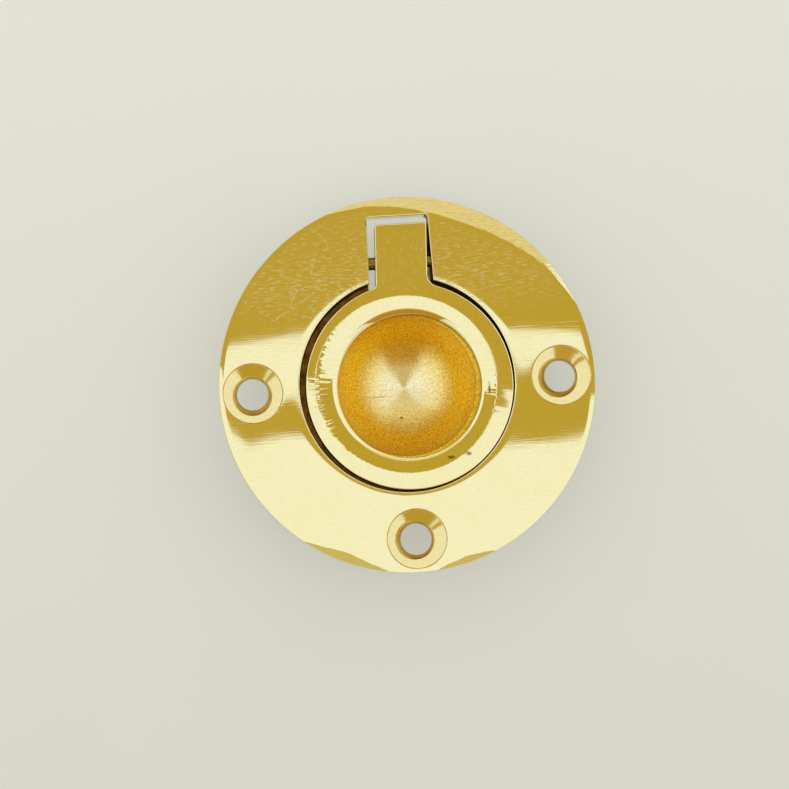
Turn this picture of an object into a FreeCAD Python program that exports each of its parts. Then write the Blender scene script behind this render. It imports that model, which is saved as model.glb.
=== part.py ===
import FreeCAD, Part
import math
import os

import Sketcher

# A flush ring pull: a round brass plate let into a drawer front, with a ring that lies in a recess
# round a finger cup and swings up on a pin through its tang.
# The back of the plate lies on Z = 0, its face looks along +Z and the tang points along +Y.

# Driving sizes: millimetres, and degrees where the name ends in angle
SIZES = {
    # plate
    "plate_diameter": 38.0,
    "plate_thickness": 3.0,
    "rim_web": 1.9,
    "rim_dub_width": 1.2,
    "rim_dub_drop": 0.3,
    "back_chamfer": 0.2,
    # screw holes
    "screw_hole_diameter": 3.2,
    "countersink_diameter": 6.0,
    "countersink_angle": 90.0,
    "rim_land": 0.4,
    # slot for the tang, filed a little wider towards the recess
    "slot_width": 6.2,
    "slot_left_flare": 0.1,
    "slot_right_flare": 0.2,
    "slot_corner_radius": 0.4,
    "slot_into_ledge": 0.45,
    # recess for the ring, with the flange that walls it on the back
    "recess_dub_width": 2.6,
    "recess_dub_drop": 0.04,
    "ledge_width": 3.72,
    "floor_thickness": 1.6,
    "flange_wall": 1.15,
    # finger cup
    "cup_side_angle": 65.0,
    "cup_tip_angle": 16.0,
    "cup_wall": 1.3,
    "foot_diameter": 9.0,
    "cast_bevel": 0.4,
    # hinge pin
    "pin_diameter": 1.3,
    "pin_depth": 1.25,
    "pin_to_recess": 1.58,
    "pin_seat_length": 4.0,
    "pin_end_gap": 0.1,
    "pin_end_chamfer": 0.15,
    "pin_fit": 0.02,
    "hinge_clearance": 0.06,
    "groove_mouth": 0.8,
    # ring
    "ring_width": 3.19,
    "ring_thickness": 2.8,
    "ring_clearance": 0.38,
    "ring_seat_gap": 0.1,
    "ring_side_shift": 0.25,
    "ring_drop": 0.17,
    "ring_round_width": 1.3,
    "ring_round_drop": 0.14,
    "ring_lip_width": 0.44,
    "ring_lip_drop": 0.28,
    "lip_side_shift": -0.1,
    "lip_rise": 0.16,
    "ring_back_chamfer": 0.2,
    # tang
    "tang_tail": 3.85,
    "tang_end_gap": 0.8,
    "tang_side_play": 0.475,
    "tang_offset": -0.09,
    "tang_lean_angle": 2.5,
    "tang_corner_radius": 0.35,
    "tang_left_root_radius": 0.4,
    "tang_right_root_radius": 1.3,
    # hand-filed edges round the slot and the front of the ring
    "filed_edge": 0.12,
}

# Lengths that follow from the driving sizes: radii and half widths, x and y in the plane of the plate,
# and heights along Z, which end in _z. The tang's are measured from the middle of the ring.
DERIVED = {
    "plate_radius": "sizes.plate_diameter / 2",
    "rim_edge_z": "sizes.plate_thickness - sizes.rim_dub_drop",
    "rim_dub_start": "plate_radius - sizes.rim_dub_width",
    "rim_dub_radius": "(sizes.rim_dub_width ^ 2 + sizes.rim_dub_drop ^ 2) / (2 * sizes.rim_dub_drop)",
    "back_edge_radius": "plate_radius - sizes.back_chamfer",
    "screw_circle_radius": "plate_radius - sizes.rim_land - sizes.countersink_diameter / 2",
    "screw_circle_minus": "-screw_circle_radius",
    "screw_hole_radius": "sizes.screw_hole_diameter / 2",
    "slot_right": "sizes.slot_width / 2",
    "slot_left": "-slot_right",
    "slot_low_right": "slot_right + sizes.slot_right_flare",
    "slot_low_left": "slot_left - sizes.slot_left_flare",
    "slot_top": "plate_radius - sizes.rim_web",
    "slot_side_end": "slot_top - sizes.slot_corner_radius",
    "slot_end_right": "slot_right - sizes.slot_corner_radius",
    "slot_end_left": "-slot_end_right",
    "pin_y": "slot_top - sizes.tang_end_gap - sizes.tang_tail",
    "pin_z": "sizes.plate_thickness - sizes.pin_depth",
    "recess_radius": "pin_y - sizes.pin_to_recess",
    "recess_floor_z": "sizes.plate_thickness - sizes.ring_thickness - sizes.ring_seat_gap",
    "recess_edge_z": "sizes.plate_thickness - sizes.recess_dub_drop",
    "recess_dub_end": "recess_radius + sizes.recess_dub_width",
    "slot_bottom": "sqrt(recess_radius ^ 2 - slot_right ^ 2) - sizes.slot_into_ledge",
    "flange_radius": "recess_radius + sizes.flange_wall",
    "flange_bottom_z": "recess_floor_z - sizes.floor_thickness",
    "cup_mouth_radius": "recess_radius - sizes.ledge_width",
    # the cup is a ball-shaped hollow that ends in a cone, tangent to it, at the middle
    "cup_ball_radius": "cup_mouth_radius / sin(sizes.cup_side_angle)",
    "cup_ball_z": "recess_floor_z + cup_ball_radius * cos(sizes.cup_side_angle)",
    "cup_cone_radius": "cup_ball_radius * sin(sizes.cup_tip_angle)",
    "cup_cone_z": "cup_ball_z - cup_ball_radius * cos(sizes.cup_tip_angle)",
    "cup_apex_z": "cup_ball_z - cup_ball_radius / cos(sizes.cup_tip_angle)",
    "cup_shoulder_radius": "cup_mouth_radius + sizes.cup_wall",
    "foot_z": "cup_apex_z - sizes.cup_wall",
    "foot_radius": "sizes.foot_diameter / 2",
    "pin_radius": "sizes.pin_diameter / 2",
    "pin_length": "sizes.slot_width + 2 * sizes.pin_seat_length",
    "groove_length": "pin_length + 2 * sizes.pin_end_gap",
    "groove_radius": "pin_radius + sizes.pin_fit",
    "groove_low_y": "pin_y - sizes.groove_mouth / 2",
    "groove_high_y": "pin_y + sizes.groove_mouth / 2",
    "groove_lip_z": "pin_z - sqrt(groove_radius ^ 2 - sizes.groove_mouth ^ 2 / 4)",
    "groove_exit_z": "-sizes.groove_mouth",
    "ring_outer_radius": "recess_radius - sizes.ring_clearance",
    "ring_inner_radius": "ring_outer_radius - sizes.ring_width",
    "ring_lip_edge": "ring_inner_radius + sizes.ring_lip_width",
    "ring_lip_z": "sizes.plate_thickness - sizes.ring_round_drop",
    # the lip's cone starts inside the hole, so that it meets the wall all round though it is off centre
    "lip_foot_radius": "ring_inner_radius - sizes.ring_lip_width",
    "lip_foot_z": "ring_lip_z - 2 * sizes.ring_lip_drop",
    "lip_plane_offset": "-sizes.lip_rise",
    "ring_flat_radius": "ring_lip_edge + sizes.ring_round_width",
    "ring_round_radius": "(sizes.ring_round_width ^ 2 + sizes.ring_round_drop ^ 2)"
                         " / (2 * sizes.ring_round_drop)",
    "ring_back_z": "recess_floor_z + sizes.ring_seat_gap",
    "ring_back_edge_z": "ring_back_z + sizes.ring_back_chamfer",
    "ring_back_inner": "ring_inner_radius + sizes.ring_back_chamfer",
    "ring_centre_y": "-sizes.ring_drop",
    "ring_cut_low_z": "ring_back_z - sizes.ring_thickness",
    "ring_cut_high_z": "sizes.plate_thickness + sizes.ring_thickness",
    "lean_sine": "sin(sizes.tang_lean_angle)",
    "lean_cosine": "cos(sizes.tang_lean_angle)",
    "tang_pin_y": "pin_y + sizes.ring_drop",
    "tang_bore_radius": "pin_radius + sizes.hinge_clearance",
    "tang_half_width": "slot_right - sizes.tang_side_play",
    "tang_left": "sizes.tang_offset - tang_half_width",
    "tang_right": "sizes.tang_offset + tang_half_width",
    "tang_top": "tang_pin_y + sizes.tang_tail",
    "corner_y": "tang_top - sizes.tang_corner_radius",
    "corner_shift": "(sizes.tang_tail - sizes.tang_corner_radius) * lean_sine / lean_cosine",
    "corner_left": "tang_left + corner_shift + sizes.tang_corner_radius / lean_cosine",
    "corner_right": "tang_right + corner_shift - sizes.tang_corner_radius / lean_cosine",
    "corner_left_side": "corner_left - sizes.tang_corner_radius * lean_cosine",
    "corner_right_side": "corner_right + sizes.tang_corner_radius * lean_cosine",
    "corner_left_side_y": "corner_y + sizes.tang_corner_radius * lean_sine",
    "corner_right_side_y": "corner_y - sizes.tang_corner_radius * lean_sine",
    # the root fillets touch the tang's sides and the rim of the ring, so each one's centre lies
    # on a line beside the tang, and root_..._slide is how far along it from the height of the pin
    "root_left_reach": "ring_outer_radius + sizes.tang_left_root_radius",
    "root_left_beside": "tang_left - sizes.tang_left_root_radius * lean_cosine",
    "root_left_level": "tang_pin_y + sizes.tang_left_root_radius * lean_sine",
    "root_left_along": "root_left_beside * lean_sine + root_left_level * lean_cosine",
    "root_left_across": "root_left_level * lean_sine - root_left_beside * lean_cosine",
    "root_left_slide": "sqrt(root_left_reach ^ 2 - root_left_across ^ 2) - root_left_along",
    "root_left_side_x": "tang_left + root_left_slide * lean_sine",
    "root_left_side_y": "tang_pin_y + root_left_slide * lean_cosine",
    "root_left_share": "ring_outer_radius / root_left_reach",
    "root_left_rim_x": "(root_left_beside + root_left_slide * lean_sine) * root_left_share",
    "root_left_rim_y": "(root_left_level + root_left_slide * lean_cosine) * root_left_share",
    "root_right_reach": "ring_outer_radius + sizes.tang_right_root_radius",
    "root_right_beside": "tang_right + sizes.tang_right_root_radius * lean_cosine",
    "root_right_level": "tang_pin_y - sizes.tang_right_root_radius * lean_sine",
    "root_right_along": "root_right_beside * lean_sine + root_right_level * lean_cosine",
    "root_right_across": "root_right_level * lean_sine - root_right_beside * lean_cosine",
    "root_right_slide": "sqrt(root_right_reach ^ 2 - root_right_across ^ 2) - root_right_along",
    "root_right_side_x": "tang_right + root_right_slide * lean_sine",
    "root_right_side_y": "tang_pin_y + root_right_slide * lean_cosine",
    "root_right_share": "ring_outer_radius / root_right_reach",
    "root_right_rim_x": "(root_right_beside + root_right_slide * lean_sine) * root_right_share",
    "root_right_rim_y": "(root_right_level + root_right_slide * lean_cosine) * root_right_share",
}

NEAR = 1e-3

doc = FreeCAD.newDocument("ring_pull")


def make_sheet(name, cells):
    """Fill a spreadsheet with one aliased cell a row and return it."""
    sheet = doc.addObject("Spreadsheet::Sheet", name)
    for row, (alias, content) in enumerate(cells.items(), start=1):
        sheet.set(f"A{row}", alias.replace("_", " "))
        sheet.set(f"B{row}", content)
        sheet.setAlias(f"B{row}", alias)
    doc.recompute()
    return sheet


sizes = make_sheet("sizes", {alias: str(number) for alias, number in SIZES.items()})
derived = make_sheet("derived", {alias: "=" + formula for alias, formula in DERIVED.items()})


def number(name):
    """The present value of a named size."""
    return getattr(sizes if name in SIZES else derived, name)


def reference(name):
    """The expression that ties a property to a named size."""
    return f"sizes.{name}" if name in SIZES else f"derived.{name}"


def new_sketch(body, name, plane_role, height=None):
    """Attach a sketch to one of the body's own planes, raised to a named height."""
    sketch = body.newObject("Sketcher::SketchObject", name)
    plane = next(plane for plane in body.Origin.OriginFeatures if plane.Role == plane_role)
    sketch.AttachmentSupport = [(plane, "")]
    sketch.MapMode = "FlatFace"
    if height:
        sketch.setExpression("AttachmentOffset.Base.z", reference(height))
    return sketch


def tie(sketch, constraint, name, size):
    """Add a dimension to a sketch and bind it to a named size."""
    sketch.renameConstraint(sketch.addConstraint(constraint), name)
    sketch.setExpression(f"Constraints.{name}", reference(size))


def place_point(sketch, edge, end, x_size, y_size, name):
    """Put one point of an edge at named x and y, where None is on the axis.

    A sketch numbers its level axis, which starts at the origin, -1 and its upright axis -2.
    """
    for kind, axis, size in (("DistanceX", -2, x_size), ("DistanceY", -1, y_size)):
        if size is None:
            sketch.addConstraint(Sketcher.Constraint("PointOnObject", edge, end, axis))
        else:
            distance = Sketcher.Constraint(kind, -1, 1, edge, end, number(size))
            tie(sketch, distance, f"{name}_{kind}", size)


def corner_vector(corner):
    """A corner's present place in its sketch."""
    x, y = (0.0 if size is None else number(size) for size in corner)
    return FreeCAD.Vector(x, y, 0)


def arc_between(start, end, radius, clockwise, major):
    """The arc of a given radius from start to end, which a sketch holds counter-clockwise."""
    chord = end - start
    rise = math.sqrt(radius ** 2 - (chord.Length / 2) ** 2)
    left = FreeCAD.Vector(-chord.y, chord.x, 0).normalize()
    side = -1 if clockwise != major else 1
    centre = (start + end) / 2 + left * (rise * side)
    first, last = (end, start) if clockwise else (start, end)
    turn = [math.atan2(point.y - centre.y, point.x - centre.x) for point in (first, last)]
    circle = Part.Circle(centre, FreeCAD.Vector(0, 0, 1), radius)
    return Part.ArcOfCircle(circle, turn[0], turn[1] if turn[1] > turn[0] else turn[1] + 2 * math.pi)


def draw_outline(sketch, corners, arcs):
    """Draw a closed outline through named corners.

    arcs gives, for the corner that an arc starts from, its radius and the words clockwise or major.
    """
    places = [corner_vector(corner) for corner in corners]
    ends = []
    for index, start in enumerate(places):
        end = places[(index + 1) % len(places)]
        if index in arcs:
            radius, *manner = arcs[index]
            clockwise = "clockwise" in manner
            shape = arc_between(start, end, number(radius), clockwise, "major" in manner)
            edge = sketch.addGeometry(shape, False)
            ends.append((edge, 2, 1) if clockwise else (edge, 1, 2))
        else:
            edge = sketch.addGeometry(Part.LineSegment(start, end), False)
            ends.append((edge, 1, 2))
    for index, (edge, first, last) in enumerate(ends):
        following, start_of_following, _ = ends[(index + 1) % len(ends)]
        joint = Sketcher.Constraint("Coincident", edge, last, following, start_of_following)
        sketch.addConstraint(joint)
    for index, (edge, first, last) in enumerate(ends):
        place_point(sketch, edge, first, *corners[index], f"corner{index}")
        if index in arcs:
            radius = arcs[index][0]
            tie(sketch, Sketcher.Constraint("Radius", edge, number(radius)), f"radius{index}", radius)


def draw_circle(sketch, x_size, y_size, radius, name):
    """Draw a circle of a named radius round a named place."""
    centre = corner_vector((x_size, y_size))
    edge = sketch.addGeometry(Part.Circle(centre, FreeCAD.Vector(0, 0, 1), number(radius)), False)
    place_point(sketch, edge, 3, x_size, y_size, name)
    tie(sketch, Sketcher.Constraint("Radius", edge, number(radius)), f"{name}_radius", radius)


def turn(body, kind, name, sketch):
    """Turn a half section once round the upright axis of its sketch, to add or to take away."""
    feature = body.newObject(kind, name)
    feature.Profile = sketch
    feature.ReferenceAxis = (sketch, ["V_Axis"])
    feature.Angle = 360
    doc.recompute()
    return feature


def cut_through(body, name, sketch, length=None):
    """Cut a sketch out to both sides of its plane, right through or over a named length."""
    before = body.Shape.Volume
    pocket = body.newObject("PartDesign::Pocket", name)
    pocket.Profile = sketch
    pocket.SideType = "Symmetric"
    if length:
        pocket.setExpression("Length", reference(length))
    else:
        pocket.Type = "ThroughAll"
    doc.recompute()
    if body.Shape.Volume >= before:
        raise RuntimeError(f"{name} cut nothing")
    return pocket


def edges_where(shape, test):
    """The names of a shape's edges whose middle point passes a test."""
    names = []
    for index, edge in enumerate(shape.Edges, start=1):
        if test(edge.valueAt((edge.FirstParameter + edge.LastParameter) / 2)):
            names.append(f"Edge{index}")
    return names


def bevel(body, name, edges, size):
    """Chamfer edges of the body's last feature by a named size."""
    base = body.Tip
    feature = body.newObject("PartDesign::Chamfer", name)
    feature.Base = (base, edges)
    feature.setExpression("Size", reference(size))
    doc.recompute()
    return feature


def new_body(label):
    """Start a sub-part."""
    body = doc.addObject("PartDesign::Body", label)
    body.Label = label
    return body


def make_backplate():
    """Plate, recess, cup and flange in one casting, drilled for screws and grooved for the pin."""
    body = new_body("backplate")
    section = new_sketch(body, "section", "XZ_Plane")
    draw_outline(
        section,
        [
            (None, "cup_apex_z"),
            ("cup_cone_radius", "cup_cone_z"),
            ("cup_mouth_radius", "recess_floor_z"),
            ("recess_radius", "recess_floor_z"),
            ("recess_radius", "recess_edge_z"),
            ("recess_dub_end", "plate_thickness"),
            ("rim_dub_start", "plate_thickness"),
            ("plate_radius", "rim_edge_z"),
            ("plate_radius", "back_chamfer"),
            ("back_edge_radius", None),
            ("flange_radius", None),
            ("flange_radius", "flange_bottom_z"),
            ("cup_shoulder_radius", "flange_bottom_z"),
            ("foot_radius", "foot_z"),
            (None, "foot_z"),
        ],
        {
            1: ("cup_ball_radius",),
            6: ("rim_dub_radius", "clockwise"),
        },
    )
    turn(body, "PartDesign::Revolution", "casting", section)
    cast_corners = [
        (number("flange_radius"), number("flange_bottom_z")),
        (number("cup_shoulder_radius"), number("flange_bottom_z")),
        (number("foot_radius"), number("foot_z")),
    ]
    cast_edges = edges_where(
        body.Shape,
        lambda middle: any(
            math.hypot(math.hypot(middle.x, middle.y) - radius, middle.z - height) < NEAR
            for radius, height in cast_corners
        ),
    )
    bevel(body, "cast_edges", cast_edges, "cast_bevel")

    slot_outline = new_sketch(body, "slot_outline", "XY_Plane")
    draw_outline(
        slot_outline,
        [
            ("slot_low_left", "slot_bottom"),
            ("slot_low_right", "slot_bottom"),
            ("slot_right", "slot_side_end"),
            ("slot_end_right", "slot_top"),
            ("slot_end_left", "slot_top"),
            ("slot_left", "slot_side_end"),
        ],
        {2: ("slot_corner_radius",), 4: ("slot_corner_radius",)},
    )
    cut_through(body, "slot", slot_outline)

    drilling = new_sketch(body, "drilling", "XY_Plane", "plate_thickness")
    draw_circle(drilling, "screw_circle_minus", None, "screw_hole_radius", "left_hole")
    draw_circle(drilling, "screw_circle_radius", None, "screw_hole_radius", "right_hole")
    draw_circle(drilling, None, "screw_circle_minus", "screw_hole_radius", "lower_hole")
    doc.recompute()
    holes = body.newObject("PartDesign::Hole", "screw_holes")
    holes.Profile = drilling
    holes.DepthType = "ThroughAll"
    holes.HoleCutType = "Countersink"
    holes.HoleCutCustomValues = True
    holes.setExpression("Diameter", reference("screw_hole_diameter"))
    holes.setExpression("HoleCutDiameter", reference("countersink_diameter"))
    holes.setExpression("HoleCutCountersinkAngle", reference("countersink_angle"))
    doc.recompute()

    groove_outline = new_sketch(body, "groove_outline", "YZ_Plane")
    draw_outline(
        groove_outline,
        [
            ("groove_low_y", "groove_exit_z"),
            ("groove_low_y", "groove_lip_z"),
            ("groove_high_y", "groove_lip_z"),
            ("groove_high_y", "groove_exit_z"),
        ],
        {1: ("groove_radius", "clockwise", "major")},
    )
    cut_through(body, "pin_groove", groove_outline, "groove_length")

    slot_edges = edges_where(
        body.Shape,
        lambda middle: number("slot_low_left") < middle.x < number("slot_low_right")
        and number("recess_radius") < middle.y < number("slot_top") + NEAR
        and middle.z > number("recess_edge_z"),
    )
    bevel(body, "slot_edges", slot_edges, "filed_edge")
    return body


def make_pull_ring():
    """A ring with a straight hole, whose lip is rounded off centre, and a tang filed out of line."""
    body = new_body("pull_ring")
    silhouette = new_sketch(body, "silhouette", "XY_Plane", "ring_back_z")
    draw_outline(
        silhouette,
        [
            ("root_left_rim_x", "root_left_rim_y"),
            ("root_right_rim_x", "root_right_rim_y"),
            ("root_right_side_x", "root_right_side_y"),
            ("corner_right_side", "corner_right_side_y"),
            ("corner_right", "tang_top"),
            ("corner_left", "tang_top"),
            ("corner_left_side", "corner_left_side_y"),
            ("root_left_side_x", "root_left_side_y"),
        ],
        {
            0: ("ring_outer_radius", "major"),
            1: ("tang_right_root_radius", "clockwise"),
            3: ("tang_corner_radius",),
            5: ("tang_corner_radius",),
            7: ("tang_left_root_radius", "clockwise"),
        },
    )
    blank = body.newObject("PartDesign::Pad", "blank")
    blank.Profile = silhouette
    blank.setExpression("Length", reference("ring_thickness"))
    doc.recompute()

    hole_section = new_sketch(body, "hole_section", "XZ_Plane")
    draw_outline(
        hole_section,
        [
            (None, "ring_cut_low_z"),
            ("ring_back_inner", "ring_cut_low_z"),
            ("ring_back_inner", "ring_back_z"),
            ("ring_inner_radius", "ring_back_edge_z"),
            ("ring_inner_radius", "ring_cut_high_z"),
            (None, "ring_cut_high_z"),
        ],
        {},
    )
    turn(body, "PartDesign::Groove", "hole", hole_section)

    # the plane of a section looks along -Y
    lip_section = new_sketch(body, "lip_section", "XZ_Plane", "lip_plane_offset")
    lip_section.setExpression("AttachmentOffset.Base.x", reference("lip_side_shift"))
    draw_outline(
        lip_section,
        [
            (None, "lip_foot_z"),
            ("lip_foot_radius", "lip_foot_z"),
            ("ring_lip_edge", "ring_lip_z"),
            ("ring_flat_radius", "plate_thickness"),
            ("ring_flat_radius", "ring_cut_high_z"),
            (None, "ring_cut_high_z"),
        ],
        {2: ("ring_round_radius", "clockwise")},
    )
    turn(body, "PartDesign::Groove", "lip", lip_section)

    def outside_lip(middle):
        """Whether a point lies beyond the rounding of the lip."""
        away = math.hypot(middle.x - number("lip_side_shift"), middle.y - number("lip_rise"))
        return away > number("ring_flat_radius") + NEAR

    front_edges = edges_where(
        body.Shape,
        lambda middle: abs(middle.z - number("plate_thickness")) < NEAR and outside_lip(middle),
    )
    bevel(body, "front_edges", front_edges, "filed_edge")
    back_edges = edges_where(
        body.Shape,
        lambda middle: abs(middle.z - number("ring_back_z")) < NEAR and outside_lip(middle),
    )
    bevel(body, "back_edges", back_edges, "ring_back_chamfer")

    bore_outline = new_sketch(body, "bore_outline", "YZ_Plane")
    draw_circle(bore_outline, "tang_pin_y", "pin_z", "tang_bore_radius", "bore")
    cut_through(body, "pin_bore", bore_outline)

    body.setExpression("Placement.Base.x", reference("ring_side_shift"))
    body.setExpression("Placement.Base.y", reference("ring_centre_y"))
    return body


def make_hinge_pin():
    """A length of round wire with its ends filed to a small chamfer."""
    body = new_body("hinge_pin")
    wire_outline = new_sketch(body, "wire_outline", "YZ_Plane")
    draw_circle(wire_outline, "pin_y", "pin_z", "pin_radius", "wire")
    wire = body.newObject("PartDesign::Pad", "wire")
    wire.Profile = wire_outline
    wire.SideType = "Symmetric"
    wire.setExpression("Length", reference("pin_length"))
    doc.recompute()
    end_x = number("pin_length") / 2
    ends = edges_where(wire.Shape, lambda middle: abs(abs(middle.x) - end_x) < NEAR)
    bevel(body, "wire_ends", ends, "pin_end_chamfer")
    return body


pieces = [make_backplate(), make_pull_ring(), make_hinge_pin()]
doc.recompute()

for item in doc.Objects:
    if "Invalid" in item.State or "Error" in item.State:
        raise RuntimeError(f"{item.Name} failed: {item.State}")
for piece in pieces:
    if piece.Shape.isNull() or not piece.Shape.isValid() or len(piece.Shape.Solids) != 1:
        raise RuntimeError(f"{piece.Label} is not one sound solid")

os.makedirs("parts", exist_ok=True)
for piece in pieces:
    piece.Shape.exportStep(f"parts/{piece.Label}.step")
    print(piece.Label, round(piece.Shape.Volume, 2), piece.Shape.BoundBox)
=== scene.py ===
import logging
import math
from abc import ABC, abstractmethod
from dataclasses import dataclass
from enum import Enum, IntEnum
from typing import Any, Iterable, Sequence

import bmesh
import bpy
from bmesh.types import BMesh
from bpy.types import Material, Node, NodeSocket, NodeTree, Object
from mathutils import Matrix, Vector, noise


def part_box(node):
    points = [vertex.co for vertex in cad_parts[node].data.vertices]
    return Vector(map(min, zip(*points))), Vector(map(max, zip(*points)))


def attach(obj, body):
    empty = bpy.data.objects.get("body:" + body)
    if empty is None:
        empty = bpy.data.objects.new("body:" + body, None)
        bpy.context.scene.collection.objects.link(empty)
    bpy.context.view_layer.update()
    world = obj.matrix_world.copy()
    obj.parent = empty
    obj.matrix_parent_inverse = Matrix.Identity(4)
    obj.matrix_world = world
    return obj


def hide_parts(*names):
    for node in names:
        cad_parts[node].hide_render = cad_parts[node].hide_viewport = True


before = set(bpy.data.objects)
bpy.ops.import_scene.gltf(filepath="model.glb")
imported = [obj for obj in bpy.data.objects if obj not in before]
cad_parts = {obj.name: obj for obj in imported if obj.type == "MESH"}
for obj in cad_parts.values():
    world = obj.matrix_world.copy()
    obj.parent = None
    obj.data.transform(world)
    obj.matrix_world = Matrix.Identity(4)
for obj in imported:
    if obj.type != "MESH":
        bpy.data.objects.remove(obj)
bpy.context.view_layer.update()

LOG = logging.getLogger("ring_pull")
MM = 0.001
# the radius where the width of strokes round the ring is measured, in millimetres
SPOKE_RADIUS = 9.2
# how far a cutter stands out of what it cuts, in millimetres
CLEAR = 1.0
# steps round a small edge
EDGE_STEPS = 6
# faces that meet at more than this many degrees keep a sharp edge
SHARP_ANGLE = 32.0

Point = tuple[float, float]
Settings = dict["str | int", Any]
Section = list[tuple[float, float, "Region"]]


# Small tools


def linear(colour: str) -> tuple[float, float, float, float]:
    """Turn an sRGB hex colour into linear light.

    Args:
        colour: Six hex digits after a hash.

    Returns:
        Red, green, blue and full opacity.
    """
    parts = [int(colour[i : i + 2], 16) / 255 for i in (1, 3, 5)]
    light = [c / 12.92 if c <= 0.04045 else ((c + 0.055) / 1.055) ** 2.4 for c in parts]
    return (light[0], light[1], light[2], 1.0)


def add_node(tree: NodeTree, kind: str, settings: Settings | None = None) -> Node:
    """Add a node, give it its settings and link its inputs.

    Args:
        tree: The tree that the node joins.
        kind: The node's type, after ShaderNode.
        settings: Values by property name, input name or input number. A socket is linked to
            that input, and a node is linked by its first output that is in use.

    Returns:
        The new node.
    """
    node = tree.nodes.new(f"ShaderNode{kind}")
    for key, value in (settings or {}).items():
        if isinstance(value, Node):
            value = next(socket for socket in value.outputs if socket.enabled)
        if isinstance(value, NodeSocket):
            tree.links.new(value, node.inputs[key])
        elif isinstance(key, str) and hasattr(node, key):
            setattr(node, key, value)
        else:
            node.inputs[key].default_value = value
    return node


def per_mm(size: float) -> float:
    """The scale of a pattern whose features are about this many millimetres wide."""
    return 1.0 / (size * MM)


def new_material(name: str) -> tuple[Material, NodeTree]:
    """Start a material, named for its surface, with an empty node tree."""
    material = bpy.data.materials.new(name)
    material.use_nodes = True
    material.node_tree.nodes.clear()
    return material, material.node_tree


def arc(centre: Point, radius: float, start: float, end: float, steps: int) -> list[Point]:
    """Points along an arc, both ends included.

    Args:
        centre: Middle of the arc.
        radius: Its radius.
        start: Angle of the first point, in degrees.
        end: Angle of the last point, in degrees.
        steps: How many equal steps it is divided into.

    Returns:
        The points in order.
    """
    turns = [math.radians(start + (end - start) * i / steps) for i in range(steps + 1)]
    return [(centre[0] + radius * math.cos(t), centre[1] + radius * math.sin(t)) for t in turns]


def line(start: Point, end: Point, steps: int) -> list[Point]:
    """Points along a straight line, both ends included."""
    return [
        (start[0] + (end[0] - start[0]) * i / steps, start[1] + (end[1] - start[1]) * i / steps)
        for i in range(steps + 1)
    ]


def ramp(value: float, start: float, end: float) -> float:
    """How far a value has come from start to end, held between 0 and 1."""
    return min(max((value - start) / (end - start), 0.0), 1.0)


def eased(share: float) -> float:
    """A share from 0 to 1, made to start and end gently."""
    return share**2 * (3 - 2 * share)


def between(turn: float, other: float) -> float:
    """The angle between two directions, all in degrees."""
    return abs((turn - other + 180) % 360 - 180)


# Finishes


class Region(IntEnum):
    """Places that are finished in different ways, in the order of the material slots."""

    POLISHED = 0
    RING = 1
    CUP = 2
    COUNTERSINK = 3
    FILED = 4
    # dark brown brass in the gaps: partly tarnish, partly painted shade of the narrow gaps
    TARNISHED = 5
    CAST = 6
    WIRE = 7


@dataclass(frozen=True)
class Flaw(ABC):
    """A mark in a surface, in millimetres and degrees."""

    middle: Point

    @abstractmethod
    def mask(self, tree: NodeTree, place: NodeSocket) -> Node:
        """Draw the mark.

        Args:
            tree: The material's tree.
            place: Places on the surface, in metres.

        Returns:
            A node that gives 1 in the mark and 0 beside it.
        """


@dataclass(frozen=True)
class Scratch(Flaw):
    """A fine score, straight or bowed, that fades out beyond the firm share of its size."""

    turn: float
    length: float
    bow: float = 0.0
    width: float = 0.11
    firm: float = 0.4

    def mask(self, tree: NodeTree, place: NodeSocket) -> Node:
        """The score's mask."""
        seat = {"vector_type": "TEXTURE", "Location": (self.middle[0] * MM, self.middle[1] * MM, 0.0)}
        turn = (0.0, 0.0, math.radians(self.turn))
        reach = (self.length / 2 * MM, self.width / 2 * MM, 1.0)
        local = add_node(tree, "Mapping", {**seat, "Rotation": turn, "Scale": reach, "Vector": place})
        parts = add_node(tree, "SeparateXYZ", {0: local}).outputs
        along = add_node(tree, "Math", {"operation": "ABSOLUTE", 0: parts["X"]})
        square = add_node(tree, "Math", {"operation": "MULTIPLY", 0: along, 1: along})
        bow = 2 * self.bow / self.width
        bent = add_node(tree, "Math", {"operation": "MULTIPLY_ADD", 0: square, 1: bow, 2: parts["Y"]})
        across = add_node(tree, "Math", {"operation": "ABSOLUTE", 0: bent})
        away = add_node(tree, "Math", {"operation": "MAXIMUM", 0: along, 1: across})
        return add_node(tree, "MapRange", {"From Min": 1.0, "From Max": self.firm, "Value": away})


@dataclass(frozen=True)
class Stain(Flaw):
    """A spot of dried polish or tarnish, made ragged by specks and fading from its edge inward."""

    reach: Point
    speck: float = 0.25
    edge: float = 1.15
    firm: float = 0.6

    def mask(self, tree: NodeTree, place: NodeSocket) -> Node:
        """The spot's mask."""
        seat = {"vector_type": "TEXTURE", "Location": (self.middle[0] * MM, self.middle[1] * MM, 0.0)}
        reach = (self.reach[0] * MM, self.reach[1] * MM, 1.0)
        local = add_node(tree, "Mapping", {**seat, "Scale": reach, "Vector": place})
        away = add_node(tree, "VectorMath", {"operation": "LENGTH", 0: local})
        specks = add_node(tree, "TexNoise", {"Scale": per_mm(self.speck), "Detail": 3.0, "Vector": place})
        ragged = add_node(tree, "Math", {"operation": "ADD", 0: away, 1: specks})
        return add_node(tree, "MapRange", {"From Min": self.edge, "From Max": self.firm, "Value": ragged})


def strongest(tree: NodeTree, flaws: Sequence[Flaw], place: NodeSocket) -> Node | None:
    """The strongest of several flaws' masks, or nothing where there are none."""
    joined = None
    for flaw in flaws:
        mask = flaw.mask(tree, place)
        if joined is not None:
            mask = add_node(tree, "Math", {"operation": "MAXIMUM", 0: joined, 1: mask})
        joined = mask
    return joined


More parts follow.
